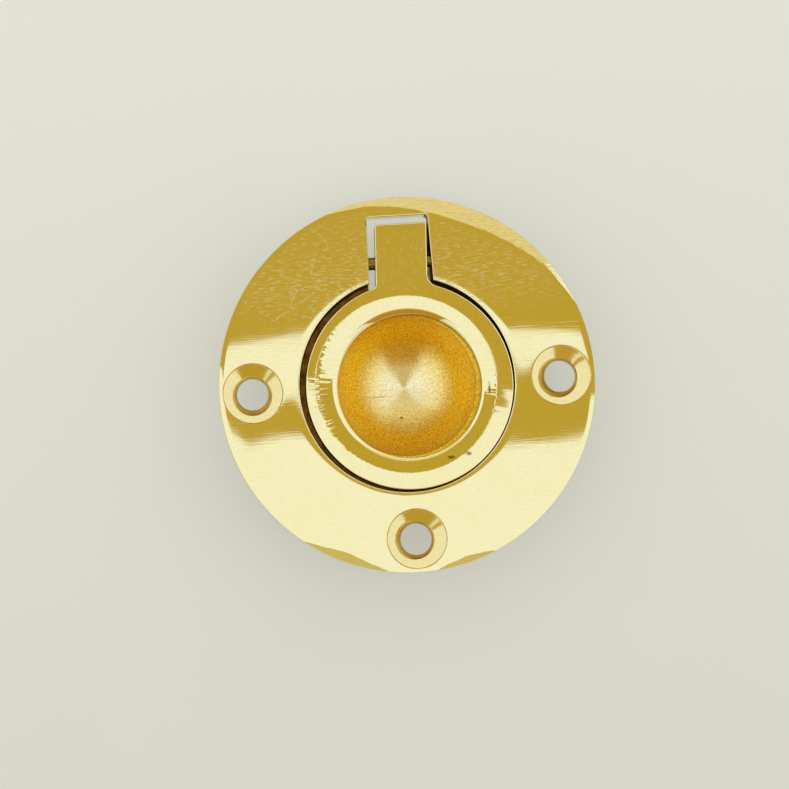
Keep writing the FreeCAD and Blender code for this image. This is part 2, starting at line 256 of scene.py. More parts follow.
def spoke_cells(
    tree: NodeTree, place: NodeSocket, middle: Point, towards: float, cell: Point
) -> tuple[Node, Node]:
    """Count cells of a pattern round a middle and out from it.

    Args:
        tree: The material's tree.
        place: Places on the surface, in metres.
        middle: The middle, in millimetres.
        towards: Where the count starts, in degrees.
        cell: Width round the middle, at the ring's usual radius, and length outward, in millimetres.

    Returns:
        A node that gives the count, and one that gives the angle from the start in radians.
    """
    seat = {"vector_type": "TEXTURE", "Location": (middle[0] * MM, middle[1] * MM, 0.0)}
    start = (0.0, 0.0, math.radians(towards))
    local = add_node(tree, "Mapping", {**seat, "Rotation": start, "Vector": place})
    parts = add_node(tree, "SeparateXYZ", {0: local}).outputs
    turn = add_node(tree, "Math", {"operation": "ARCTAN2", 0: parts["Y"], 1: parts["X"]})
    level = add_node(tree, "VectorMath", {"operation": "MULTIPLY", 0: local, 1: (1.0, 1.0, 0.0)})
    radius = add_node(tree, "VectorMath", {"operation": "LENGTH", 0: level})
    around = add_node(tree, "Math", {"operation": "MULTIPLY", 0: turn, 1: SPOKE_RADIUS / cell[0]})
    along = add_node(tree, "Math", {"operation": "MULTIPLY", 0: radius, 1: per_mm(cell[1])})
    return add_node(tree, "CombineXYZ", {"X": around, "Y": along}), turn


@dataclass(frozen=True)
class Streaks:
    """Strokes of the buff that run out from a middle on one side, in millimetres and degrees."""

    middle: Point
    towards: float
    spread: float
    cell: Point
    depth: float

    def height(self, tree: NodeTree, place: NodeSocket) -> Node:
        """The strokes' height, which fades out to both sides."""
        spot, turn = spoke_cells(tree, place, self.middle, self.towards, self.cell)
        lines = add_node(tree, "TexNoise", {"Scale": 1.0, "Detail": 2.0, "Vector": spot})
        away = add_node(tree, "Math", {"operation": "ABSOLUTE", 0: turn})
        fade = {"From Min": math.radians(self.spread), "From Max": 0.0}
        share = add_node(tree, "MapRange", {**fade, "Value": away})
        return add_node(tree, "Math", {"operation": "MULTIPLY", 0: lines, 1: share})


@dataclass(frozen=True)
class Finish(ABC):
    """A brass surface, named for how it was made."""

    name: str

    @abstractmethod
    def surface(self, tree: NodeTree, place: NodeSocket) -> Settings:
        """Draw what the surface gives the eye.

        Args:
            tree: The material's tree.
            place: Places on the surface, in metres.

        Returns:
            Settings of the metal's shader by input name.
        """

    def material(self) -> Material:
        """Make the material."""
        material, tree = new_material(self.name)
        place = add_node(tree, "TexCoord").outputs["Object"]
        shader = add_node(tree, "BsdfPrincipled", {"Metallic": 1.0, **self.surface(tree, place)})
        add_node(tree, "OutputMaterial", {"Surface": shader})
        return material


@dataclass(frozen=True)
class PolishedBrass(Finish):
    """Brass buffed on a mop: a pale mirror with hairlines, specks of scuff and odd scores.

    Scuffs begin between two heights on the face. They are brushed one way, or out from a middle.
    """

    colour: str = "#F3EBC0"
    worn: str = "#F0E5B0"
    scuff_colour: str = "#ECE1AE"
    stain_colour: str = "#8C7A30"
    roughness: float = 0.014
    dull_roughness: float = 0.026
    scuff_roughness: float = 0.3
    scratch_roughness: float = 0.2
    patch: float = 3.5
    scuff_width: float = 0.15
    scuff_length: float = 0.8
    scuff_turn: float = -50.0
    scuffs_from: Point | None = None
    scuffs_begin: Point = (5.5, 10.5)
    # mop hairlines are a few thousandths of a millimetre wide and drawn coarser here, to show at all
    hairline_width: float = 0.1
    hairline_length: float = 6.0
    hairline_depth: float = 0.00005
    hairline_turns: tuple[float, ...] = (38.0, 118.0)
    scratches: tuple[Scratch, ...] = ()
    stains: tuple[Stain, ...] = ()
    streaks: Streaks | None = None

    def specks(self, tree: NodeTree, place: NodeSocket) -> Node:
        """The pattern of the scuffs."""
        if self.scuffs_from is None:
            turn = (0.0, 0.0, math.radians(self.scuff_turn))
            scale = (per_mm(self.scuff_length), per_mm(self.scuff_width), per_mm(1.0))
            strokes = add_node(tree, "Mapping", {"Rotation": turn, "Scale": scale, "Vector": place})
        else:
            cell = (self.scuff_width, self.scuff_length)
            strokes, _ = spoke_cells(tree, place, self.scuffs_from, 90.0, cell)
        return add_node(tree, "TexNoise", {"Scale": 1.0, "Detail": 3.0, "Vector": strokes})

    def relief(self, tree: NodeTree, place: NodeSocket) -> Settings:
        """The hairlines and the streaks, as the shader's normal."""
        normal: Settings = {}
        scale = (per_mm(self.hairline_length), per_mm(self.hairline_width), per_mm(1.0))
        groove = {"invert": True, "Strength": 1.0, "Distance": self.hairline_depth * MM}
        for degrees in self.hairline_turns:
            turn = (0.0, 0.0, math.radians(degrees))
            along = add_node(tree, "Mapping", {"Rotation": turn, "Scale": scale, "Vector": place})
            lines = add_node(tree, "TexNoise", {"Scale": 1.0, "Detail": 2.0, "Vector": along})
            sparse = add_node(tree, "MapRange", {"From Min": 0.52, "From Max": 0.72, "Value": lines})
            normal = {"Normal": add_node(tree, "Bump", {**groove, "Height": sparse, **normal})}
        if self.streaks is not None:
            ridge = {"Strength": 1.0, "Distance": self.streaks.depth * MM}
            height = self.streaks.height(tree, place)
            normal = {"Normal": add_node(tree, "Bump", {**ridge, "Height": height, **normal})}
        return normal

    def surface(self, tree: NodeTree, place: NodeSocket) -> Settings:
        """A mirror that is duller in patches, where it was handled and along its scratches."""
        patches = add_node(tree, "TexNoise", {"Scale": per_mm(self.patch), "Detail": 4.0, "Vector": place})
        dulling = {"From Min": 0.4, "From Max": 0.65, "To Min": self.roughness, "To Max": self.dull_roughness}
        thumbed = add_node(tree, "MapRange", {**dulling, "Value": patches})
        specks = self.specks(tree, place)
        scuffing = {"From Min": 0.42, "From Max": 0.8, "To Max": self.scuff_roughness}
        scuffed = add_node(tree, "MapRange", {**scuffing, "Value": specks})
        upward = add_node(tree, "SeparateXYZ", {0: place}).outputs["Y"]
        start, full = (height * MM for height in self.scuffs_begin)
        handled = add_node(tree, "MapRange", {"From Min": start, "From Max": full, "Value": upward})
        scuffs = add_node(tree, "Math", {"operation": "MULTIPLY", 0: scuffed, 1: handled})
        gloss = add_node(tree, "Math", {"operation": "MAXIMUM", 0: thumbed, 1: scuffs})
        blend = {"data_type": "RGBA"}
        buffed = add_node(tree, "Mix", {**blend, 0: patches, 6: linear(self.colour), 7: linear(self.worn)})
        dulled = add_node(tree, "MapRange", {"From Min": 0.38, "From Max": 0.8, "Value": specks})
        tone = add_node(tree, "Mix", {**blend, 0: dulled, 6: buffed, 7: linear(self.scuff_colour)})
        scored = strongest(tree, self.scratches, place)
        if scored is not None:
            rough = add_node(tree, "Math", {"operation": "MULTIPLY", 0: scored, 1: self.scratch_roughness})
            gloss = add_node(tree, "Math", {"operation": "MAXIMUM", 0: gloss, 1: rough})
        stained = strongest(tree, self.stains, place)
        if stained is not None:
            tone = add_node(tree, "Mix", {**blend, 0: stained, 6: tone, 7: linear(self.stain_colour)})
        return {"Base Color": tone, "Roughness": gloss, **self.relief(tree, place)}


@dataclass(frozen=True)
class TurnedBrass(Finish):
    """Brass cut on a lathe or by a countersink: satin, with fine rings that draw light into fans.

    Its grain goes over from the two tones of middle to the two of outside between two radii. This is a
    painted reflection: pale in the middle like a highlight, and deeper orange outward like the
    interreflection and shade of the hollow.
    """

    middle: tuple[str, str]
    outside: tuple[str, str]
    roughness: float
    ring_pitch: float
    ring_depth: float
    painted_reflection_radii: Point = (1.6, 5.2)
    anisotropy: float = 0.0
    grit: float = 0.13
    grit_depth: float = 0.0
    grain: float = 0.2
    stain_colour: str = "#5A4214"
    flaws: tuple[Flaw, ...] = ()

    def surface(self, tree: NodeTree, place: NodeSocket) -> Settings:
        """Two-toned grain with a painted reflection that deepens outward, over the cutter's rings and a fine
        grit.
        """
        flat = add_node(tree, "VectorMath", {"operation": "MULTIPLY", 0: place, 1: (1.0, 1.0, 0.0)})
        radius = add_node(tree, "VectorMath", {"operation": "LENGTH", 0: flat})
        # painted reflection: the tone goes over from the pale middle to the deep outside between these radii
        start, full = (distance * MM for distance in self.painted_reflection_radii)
        outward = add_node(tree, "MapRange", {"From Min": start, "From Max": full, "Value": radius})
        grain = add_node(tree, "TexNoise", {"Scale": per_mm(self.grain), "Detail": 4.0, "Vector": place})
        grained = add_node(tree, "MapRange", {"From Min": 0.35, "From Max": 0.7, "Value": grain})
        blend = {"data_type": "RGBA"}
        inner, outer = (
            add_node(tree, "Mix", {**blend, 0: grained, 6: linear(light), 7: linear(dark)})
            for light, dark in (self.middle, self.outside)
        )
        tone = add_node(tree, "Mix", {**blend, 0: outward, 6: inner, 7: outer})
        marked = strongest(tree, self.flaws, place)
        if marked is not None:
            tone = add_node(tree, "Mix", {**blend, 0: marked, 6: tone, 7: linear(self.stain_colour)})
        circles = {"wave_type": "RINGS", "rings_direction": "Z"}
        # the pattern has a ring every pi / 10 at a scale of 1
        waver = {"Scale": math.pi / 10 * per_mm(self.ring_pitch), "Distortion": 1.2}
        detail = {"Detail": 2.0, "Detail Scale": 0.4}
        wave = add_node(tree, "TexWave", {**circles, **waver, **detail, "Vector": place})
        rings = wave.outputs["Fac"]
        ripple = {"Strength": 1.0, "Distance": self.ring_depth * MM}
        ringed = add_node(tree, "Bump", {**ripple, "Height": rings})
        grit = add_node(tree, "TexNoise", {"Scale": per_mm(self.grit), "Detail": 3.0, "Vector": place})
        pits = {"Strength": 1.0, "Distance": self.grit_depth * MM}
        return {
            "Base Color": tone,
            "Roughness": self.roughness,
            "Anisotropic": self.anisotropy,
            "Anisotropic Rotation": 0.25,
            "Normal": add_node(tree, "Bump", {**pits, "Height": grit, "Normal": ringed}),
            "Tangent": add_node(tree, "Tangent", {"direction_type": "RADIAL", "axis": "Z"}),
        }


@dataclass(frozen=True)
class RoughBrass(Finish):
    """Brass left from the file or the mould: dull, darker in its pits, with a fine broken surface."""

    colour: str
    pit_colour: str
    roughness: float
    grit: float
    grit_depth: float
    patch: float

    def surface(self, tree: NodeTree, place: NodeSocket) -> Settings:
        """Patches of tarnish over a fine grit."""
        patches = add_node(tree, "TexNoise", {"Scale": per_mm(self.patch), "Detail": 6.0, "Vector": place})
        tarnish = add_node(tree, "MapRange", {"From Min": 0.35, "From Max": 0.7, "Value": patches})
        tones = {6: linear(self.colour), 7: linear(self.pit_colour)}
        grit = add_node(tree, "TexNoise", {"Scale": per_mm(self.grit), "Detail": 4.0, "Vector": place})
        pits = {"Strength": 1.0, "Distance": self.grit_depth * MM}
        return {
            "Base Color": add_node(tree, "Mix", {"data_type": "RGBA", 0: tarnish, **tones}),
            "Roughness": self.roughness,
            "Normal": add_node(tree, "Bump", {**pits, "Height": grit}),
        }


FACE_SCRATCHES = (
    Scratch((-7.35, 14.75), 118.0, 3.1, -0.35),
    Scratch((-8.9, 12.2), 75.0, 2.2, 0.1),
    Scratch((-9.6, 10.4), 15.0, 1.8, 0.1),
    Scratch((-10.9, 9.4), 62.0, 2.4, 0.15),
    Scratch((-8.2, 10.9), 100.0, 1.3),
    Scratch((-12.4, 7.6), 40.0, 1.6),
    Scratch((-5.1, 13.2), 150.0, 1.4),
    Scratch((12.2, -11.6), 75.0, 0.9),
)
RING_MIDDLE = (0.25, -0.17)
RING_STAINS = (
    Stain((8.25, -0.9), (0.3, 1.3)),
    Stain((3.9, -7.6), (0.8, 0.4)),
    Stain((5.7, -7.3), (0.7, 0.5)),
)
RING_STREAKS = Streaks(RING_MIDDLE, 195.0, 34.0, (0.26, 1.6), 0.005)
CUP_PIT = (-0.5, -2.95)
CUP_FLAWS = (Stain(CUP_PIT, (0.34, 0.26), 0.5), Stain((-2.6, -0.75), (2.2, 0.09), 0.4))
COUNTERSUNK = ("#F7F0D2", "#F1E6BE")
FINISHES: dict[Region, Finish] = {
    Region.POLISHED: PolishedBrass("brass, buffed on a mop", scratches=FACE_SCRATCHES),
    Region.RING: PolishedBrass(
        "brass, ring buffed by hand",
        scuff_colour="#EADEA8",
        scuff_roughness=0.24,
        scuffs_from=RING_MIDDLE,
        scuffs_begin=(2.0, 12.0),
        stains=RING_STAINS,
        streaks=RING_STREAKS,
    ),
    # the cup's pale middle and deep orange outside are a painted reflection of its hollow, over its real
    # grain
    Region.CUP: TurnedBrass(
        "brass, turned cup",
        ("#FBF2D0", "#EADBA2"),
        ("#FFE55A", "#E2AB32"),
        roughness=0.25,
        ring_pitch=0.16,
        ring_depth=0.0006,
        anisotropy=0.7,
        grit_depth=0.011,
        flaws=CUP_FLAWS,
    ),
    Region.COUNTERSINK: TurnedBrass("brass, countersunk", COUNTERSUNK, COUNTERSUNK, 0.05, 0.2, 0.0),
    Region.FILED: RoughBrass("brass, filed", "#D8BE70", "#B6984C", 0.3, 0.12, 0.003, 1.2),
    # the dark brown of the gaps is partly tarnish and partly painted shade
    Region.TARNISHED: RoughBrass("brass, tarnished brown", "#A8803C", "#6A481A", 0.45, 0.15, 0.004, 1.0),
    Region.CAST: RoughBrass("brass, sand cast", "#BFA363", "#8C7038", 0.46, 0.22, 0.012, 2.4),
    Region.WIRE: RoughBrass("brass, drawn wire", "#9E8A55", "#6E5A2C", 0.25, 0.1, 0.001, 0.8),
}


# Mesh tools


def mesh_piece(name: str, grid: BMesh, finishes: Sequence[Material]) -> Object:
    """Turn a bmesh into an object of the scene, in metres.

    Args:
        name: The piece's name.
        grid: Its mesh in millimetres, which is freed.
        finishes: Its material slots.

    Returns:
        The new object.
    """
    bmesh.ops.recalc_face_normals(grid, faces=grid.faces)
    bmesh.ops.transform(grid, matrix=Matrix.Scale(MM, 4), verts=grid.verts)
    mesh = bpy.data.meshes.new(name)
    grid.to_mesh(mesh)
    grid.free()
    for finish in finishes:
        mesh.materials.append(finish)
    piece = bpy.data.objects.new(name, mesh)
    bpy.context.scene.collection.objects.link(piece)
    return piece


def lathe(grid: BMesh, section: Section, steps: int, centre: Point) -> None:
    """Turn a half section round an upright axis and add it to a bmesh.

    Args:
        grid: The mesh that it joins.
        section: Radius, height and the finish up to the next point, from the axis back to the axis.
        steps: How many steps make a turn.
        centre: Where the axis stands.
    """
    rows = []
    for radius, height, _ in section:
        on_axis = radius < 1e-6
        places = [centre] if on_axis else arc(centre, radius, 0, 360, steps)[:-1]
        rows.append([grid.verts.new((x, y, height)) for x, y in places])
    for row, following, (_, _, region) in zip(rows, rows[1:], section):
        for i in range(steps):
            j = (i + 1) % steps
            if len(row) == 1:
                corners = (row[0], following[i], following[j])
            elif len(following) == 1:
                corners = (row[i], following[0], row[j])
            else:
                corners = (row[i], following[i], following[j], row[j])
            grid.faces.new(corners).material_index = region


def loft(
    grid: BMesh, loops: Sequence[Sequence[Vector]], regions: Sequence[Region], closed: bool
) -> None:
    """Join loops of equal length by strips of faces and add them to a bmesh.

    Args:
        grid: The mesh that they join.
        loops: The loops in order.
        regions: The finish of the strip after each loop.
        closed: Whether the last loop joins the first; otherwise the ends are capped.
    """
    rows = [[grid.verts.new(point) for point in loop] for loop in loops]
    following_rows = rows[1:] + rows[:1] if closed else rows[1:]
    for row, following, region in zip(rows, following_rows, regions):
        for i in range(len(row)):
            j = (i + 1) % len(row)
            grid.faces.new((row[i], row[j], following[j], following[i])).material_index = region
    if not closed:
        for row in (rows[0], rows[-1]):
            grid.faces.new(row).material_index = regions[0]


def raised(points: Iterable[Vector], height: float) -> list[Vector]:
    """Points of the plane, lifted to a height."""
    return [Vector((point.x, point.y, height)) for point in points]


def cut(piece: Object, cutter: Object) -> None:
    """Cut one mesh out of another, whose new faces take the cutter's finish.

    Args:
        piece: The mesh that is cut.
        cutter: The mesh that is taken away and then deleted.
    """
    modifier = piece.modifiers.new("cut", "BOOLEAN")
    modifier.operation = "DIFFERENCE"
    modifier.solver = "EXACT"
    modifier.material_mode = "INDEX"
    modifier.object = cutter
    graph = bpy.context.evaluated_depsgraph_get()
    mesh = bpy.data.meshes.new_from_object(piece.evaluated_get(graph))
    piece.modifiers.clear()
    piece.data = mesh
    bpy.data.objects.remove(cutter)


def shade(piece: Object) -> None:
    """Shade a mesh smooth, apart from its sharp edges."""
    piece.data.shade_smooth()
    piece.data.set_sharp_from_angle(angle=math.radians(SHARP_ANGLE))


def settle(piece: Object, body: str, node: str) -> None:
    """Let a finished mesh stand for a CAD node.

    Args:
        piece: The mesh.
        body: The body that it moves with.
        node: The CAD node that it replaces.
    """
    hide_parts(node)
    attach(piece, body)
    LOG.info("%s: %d faces", piece.name, len(piece.data.polygons))


# The object


@dataclass(frozen=True)
class Facet:
    """A place where the rim was buffed away: its angle, greatest width, half spread in degrees and slope."""

    towards: float
    width: float
    spread: float
    slope: float
    blend: float = 0.2

    def drop(self, turn: float, inset: float) -> float:
        """How far the face lies lower.

        Args:
            turn: Angle of the place, in degrees.
            inset: How far it lies inside the rim, in millimetres.

        Returns:
            The drop in millimetres.
        """
        share = ramp(between(turn, self.towards), self.spread, 0.0)
        reach = max(self.width * eased(share) - inset, 0.0)
        # the slope grows from nothing over the width of the blend, so the facet has no hard edge
        return self.slope * (reach - self.blend / 2 if reach > self.blend else reach**2 / (2 * self.blend))


@dataclass
class Backplate:
    """The casting: a round plate with a recess, a slot, three countersunk holes, a cup and a flange.

    Sizes are in millimetres and degrees. A dub is an edge worn round: its width and its drop.
    """

    radius: float
    face: float
    rim_dub: Point = (0.5, 0.07)
    edge: float = 0.1
    back_chamfer: float = 0.2
    recess_radius: float = 10.87
    recess_floor: float = 0.1
    recess_dub: Point = (0.8, 0.006)
    bare_ledge: float = 8.4
    mouth_radius: float = 7.15
    cup_side_angle: float = 65.0
    cup_tip_angle: float = 16.0
    cup_wall: float = 1.3
    flange_wall: float = 1.15
    flange_root: float = 0.15
    floor_thickness: float = 1.6
    foot_radius: float = 4.5
    cast_bevel: float = 0.4
    screw_circle: float = 15.6
    hole_radius: float = 1.6
    countersink_radius: float = 3.0
    countersink_slope: float = 47.6
    countersink_lip: float = 0.14
    countersink_dub: Point = (0.25, 0.001)
    hole_flare: Point = (0.09, 0.28)
    cutter_pitch: float = 0.22
    cutter_ripple: float = 0.0002
    slot_half: float = 3.1
    slot_flare: Point = (0.1, 0.2)
    slot_top: float = 17.1
    slot_corner: float = 0.4
    slot_into_ledge: float = 0.45
    slot_draft: float = 0.3
    slot_draft_run: float = 3.0
    slot_draft_z: float = 0.4
    slot_floor: float = -8.0
    pin_y: float = 12.45
    pin_z: float = 1.75
    groove_radius: float = 0.67
    groove_half_mouth: float = 0.4
    groove_half_length: float = 7.2
    facets: tuple[Facet, ...] = (
        Facet(66.5, 2.0, 60.0, 0.15),
        Facet(247.0, 1.2, 20.0, 0.24),
        Facet(285.0, 1.0, 15.0, 0.2),
    )
    # the waver of the buffed face: turn along x and y in radians a millimetre, phase and depth
    waves: tuple[tuple[float, float, float, float], ...] = (
        (0.31, 0.22, 0.4, 0.0016),
        (-0.18, 0.42, 1.9, 0.0014),
        (0.52, -0.12, 3.1, 0.0008),
    )
    # depths below the face where the wear of the face has ended and where it is still whole
    wear_ends: Point = (1.2, 0.35)
    cast_waver: float = 0.018
    cast_pattern: float = 1.3
    cast_begins: float = 0.3
    pit: Point = CUP_PIT
    pit_reach: float = 0.3
    pit_depth: float = 0.12
    steps: int = 288
    hole_steps: int = 72
    dub_steps: int = 14

    def holes(self) -> list[Point]:
        """Where the screw holes stand."""
        return [(-self.screw_circle, 0.0), (self.screw_circle, 0.0), (0.0, -self.screw_circle)]

    def cup_tip(self) -> tuple[float, float, float]:
        """The cup's ball radius, the height of the ball's middle and the height of the tip."""
        side = math.radians(self.cup_side_angle)
        ball = self.mouth_radius / math.sin(side)
        ball_z = self.recess_floor + ball * math.cos(side)
        return ball, ball_z, ball_z - ball / math.cos(math.radians(self.cup_tip_angle))

    def front_section(self) -> Section:
        """The front half of the section, from the tip of the cup out to the rim."""
        ball, ball_z, tip_z = self.cup_tip()
        hollow = arc((0.0, ball_z), ball, self.cup_tip_angle - 90, self.cup_side_angle - 90, steps=60)
        cup = line((0.0, tip_z), hollow[0], steps=16)[:-1] + hollow[:-1]
        wall_foot = (self.recess_radius, self.recess_floor + self.edge)
        ledge = line((self.mouth_radius, self.recess_floor), (self.bare_ledge, self.recess_floor), steps=4)
        hidden = line(ledge[-1], (self.recess_radius - self.edge, self.recess_floor), steps=6)[1:]
        dub_width, dub_drop = self.recess_dub
        shoulder = self.face - dub_drop - self.edge
        wall = line(wall_foot, (self.recess_radius, shoulder), steps=6)
        # the edge ends just short of level, where the dub takes over
        bend = arc((self.recess_radius + self.edge, shoulder), self.edge, 180, 92, EDGE_STEPS)[1:]
        start = bend[-1]
        reach = self.recess_radius + dub_width - start[0]
        shares = [i / self.dub_steps for i in range(1, self.dub_steps + 1)]
        dub = [
            (start[0] + reach * t, start[1] + (self.face - start[1]) * (1 - (1 - t) ** 2)) for t in shares
        ]
        rim_width, rim_drop = self.rim_dub
        rim_start = self.radius - rim_width
        flat = line(dub[-1], (rim_start, self.face), steps=30)[1:]
        soft = self.edge / 2
        rim = [
            (rim_start + (rim_width - soft) * t, self.face - (rim_drop - soft) * t**2) for t in shares
        ]
        side = [(self.radius, self.face - rim_drop - soft)]
        side += line((self.radius, self.face - 3 * rim_drop), (self.radius, self.back_chamfer), steps=5)
        named = [(cup + ledge[:-1], Region.CUP)]
        # the recess wall and the ledge in the gap under the ring are darkened as tarnish and as painted shade
        named.append((ledge[-1:] + hidden + wall, Region.TARNISHED))
        named.append((bend + dub + flat + rim + side, Region.POLISHED))
        return [(radius, height, region) for points, region in named for radius, height in points]

    def back_section(self) -> Section:
        """The back half of the section, from the rim in to the middle of the cup's foot."""
        flange_radius = self.recess_radius + self.flange_wall
        flange_z = self.recess_floor - self.floor_thickness
        shoulder = self.mouth_radius + self.cup_wall
        foot_z = self.cup_tip()[2] - self.cup_wall
        bevel, root = self.cast_bevel, self.flange_root
        slope = math.atan2(flange_z - foot_z, shoulder - self.foot_radius)
        run, fall = bevel * math.cos(slope), bevel * math.sin(slope)
        points = line((self.radius - self.back_chamfer, 0.0), (flange_radius + root, 0.0), steps=18)
        points += line((flange_radius, -root), (flange_radius, flange_z + bevel), steps=6)
        points += line((flange_radius - bevel, flange_z), (shoulder + bevel, flange_z), steps=8)
        points += line((shoulder - run, flange_z - fall), (self.foot_radius + run, foot_z + fall), steps=16)
        points += line((self.foot_radius - bevel, foot_z), (0.0, foot_z), steps=10)
        return [(radius, height, Region.CAST) for radius, height in points]

    def countersink_section(self) -> Section:
        """Half the section of what a countersink takes out, with the cutter's rings in its cone."""
        lip = self.countersink_lip
        # the lip bends from nearly level to the slope of the cone
        reach = lip * math.tan(math.radians(22.5))
        bend = arc((self.countersink_radius + reach, self.face - lip), lip, 84, 135, EDGE_STEPS)
        slope = math.tan(math.radians(self.countersink_slope))
        flare, fall = self.hole_flare
        brink = self.face - (self.countersink_radius - self.hole_radius) * slope + flare * slope
        cone = []
        for radius, height in line(bend[-1], (self.hole_radius + flare, brink), steps=60)[1:]:
            ripple = self.cutter_ripple * math.sin(2 * math.pi * radius / self.cutter_pitch)
            cone.append((radius - ripple, height - ripple))
        top = self.face + CLEAR
        wall = [(self.hole_radius, brink - fall), (self.hole_radius, -CLEAR), (0.0, -CLEAR)]
        named = [([(0.0, top), (bend[0][0], top)], Region.COUNTERSINK)]
        # the lip was broken with a file, which draws a thin darker line round the cone
        named.append((bend[:-1], Region.FILED))
        named.append((bend[-1:] + cone[:-1], Region.COUNTERSINK))
        named.append((cone[-1:] + wall, Region.FILED))
        return [(radius, height, region) for points, region in named for radius, height in points]

    def slot_outline(self, grow: float, draft: float) -> list[Point]:
        """The slot's outline, counter-clockwise.

        Args:
            grow: How far the whole outline is set out, for a rounded edge.
            draft: How far the right wall leans in at this depth, less towards the end of the slot.

        Returns:
            The points.
        """
        low = math.sqrt(self.recess_radius**2 - self.slot_half**2) - self.slot_into_ledge
        half = self.slot_half + grow
        corner = self.slot_corner + grow
        high = self.slot_top - self.slot_corner
        side = self.slot_half - self.slot_corner
        left_flare, right_flare = self.slot_flare
        right = [
            (x - draft * ramp(y, high, high - self.slot_draft_run), y)
            for x, y in line((half + right_flare, low), (half, high), steps=24)[:-1]
        ]
        left = line((-half, high), (-half - left_flare, low), steps=24)[1:]
        right_corner = arc((side, high), corner, 0, 90, EDGE_STEPS)
        return right + right_corner + arc((-side, high), corner, 90, 180, EDGE_STEPS) + left

    def slot_cutter(self) -> list[list[Vector]]:
        """The loops of what the slot takes out, from above the face to below the cup."""
        levels = [(self.face + CLEAR, self.edge, 0.0), (self.face, self.edge * 0.94, 0.0)]
        for turn in (20, 45, 70, 90):
            sine, cosine = (f(math.radians(turn)) for f in (math.sin, math.cos))
            levels.append((self.face - self.edge * sine, self.edge * (1 - sine) * cosine, 0.0))
        levels += [(z, 0.0, self.slot_draft) for z in (self.slot_draft_z, self.slot_floor)]
        return [[Vector((x, y, z)) for x, y in self.slot_outline(grow, draft)] for z, grow, draft in levels]

    def groove_cutter(self) -> list[list[Vector]]:
        """The loops of the keyhole groove that takes the pin from the back."""
        mouth = self.groove_half_mouth
        half = math.degrees(math.asin(mouth / self.groove_radius))
        keyhole = arc((self.pin_y, self.pin_z), self.groove_radius, half - 90, 270 - half, steps=30)
        keyhole += [(self.pin_y - mouth, -CLEAR), (self.pin_y + mouth, -CLEAR)]
        ends = (-self.groove_half_length, self.groove_half_length)
        return [[Vector((x, y, z)) for y, z in keyhole] for x in ends]

    def build(self, finishes: Sequence[Material]) -> Object:
        """Make the casting's mesh.

        Args:
            finishes: The brass finishes by Region.

        Returns:
            The piece.
        """
        grid = bmesh.new()
        lathe(grid, self.front_section() + self.back_section(), self.steps, (0.0, 0.0))
        piece = mesh_piece("backplate_casting", grid, finishes)

        grid = bmesh.new()
        for place in self.holes():
            lathe(grid, self.countersink_section(), self.hole_steps, place)
        loops = self.slot_cutter()
        loft(grid, loops, [Region.POLISHED] * len(loops), False)
        for wall in grid.faces:
            middle = wall.calc_center_median()
            # the deep part of the slot's right wall is darkened as tarnish and as painted shade of the narrow
            # gap
            if middle.x > self.slot_half - self.slot_draft and middle.y > self.mouth_radius:
                deep = middle.z < self.face - self.edge
                wall.material_index = Region.TARNISHED if deep else Region.POLISHED
        cut(piece, mesh_piece("drill", grid, finishes))

        grid = bmesh.new()
        loops = self.groove_cutter()
        loft(grid, loops, [Region.FILED] * len(loops), False)
        cut(piece, mesh_piece("groove", grid, finishes))
        self.wear(piece)
        shade(piece)
        return piece

    def buffed(self, x: float, y: float) -> float:
        """How far hand buffing leaves the face from flat at a place, in millimetres."""
        height = sum(depth * math.sin(kx * x + ky * y + phase) for kx, ky, phase, depth in self.waves)
        width, drop = self.countersink_dub
        for hole_x, hole_y in self.holes():
            away = math.hypot(x - hole_x, y - hole_y) - self.countersink_radius
            height -= drop * ramp(away, width, 0.0) ** 2
        turn = math.degrees(math.atan2(y, x))
        inset = self.radius - math.hypot(x, y)
        # a facet takes the rounding of the rim with it
        soft = self.edge / 2
        rounded = (self.rim_dub[1] - soft) * ramp(inset, self.rim_dub[0], soft) ** 2
        return height - max(sum(facet.drop(turn, inset) for facet in self.facets) - rounded, 0.0)

    def wear(self, piece: Object) -> None:
        """Give the face its hand-buffed waver, the back its cast skin and the cup its pit."""
        foot_z = self.cup_tip()[2] - self.edge
        none, whole = (self.face - depth for depth in self.wear_ends)
        for vertex in piece.data.vertices:
            x, y, z = (c / MM for c in vertex.co)
            drop = ramp(z, none, whole) * self.buffed(x, y)
            if math.hypot(x, y) > self.mouth_radius or z < foot_z:
                skin = noise.noise(Vector((x, y, z)) * self.cast_pattern)
                drop += ramp(z, 0.0, -self.cast_begins) * self.cast_waver * skin
            else:
                away = math.hypot(x - self.pit[0], y - self.pit[1])
                drop -= self.pit_depth * ramp(away, self.pit_reach, 0.0) ** 2
            vertex.co.z += drop * MM


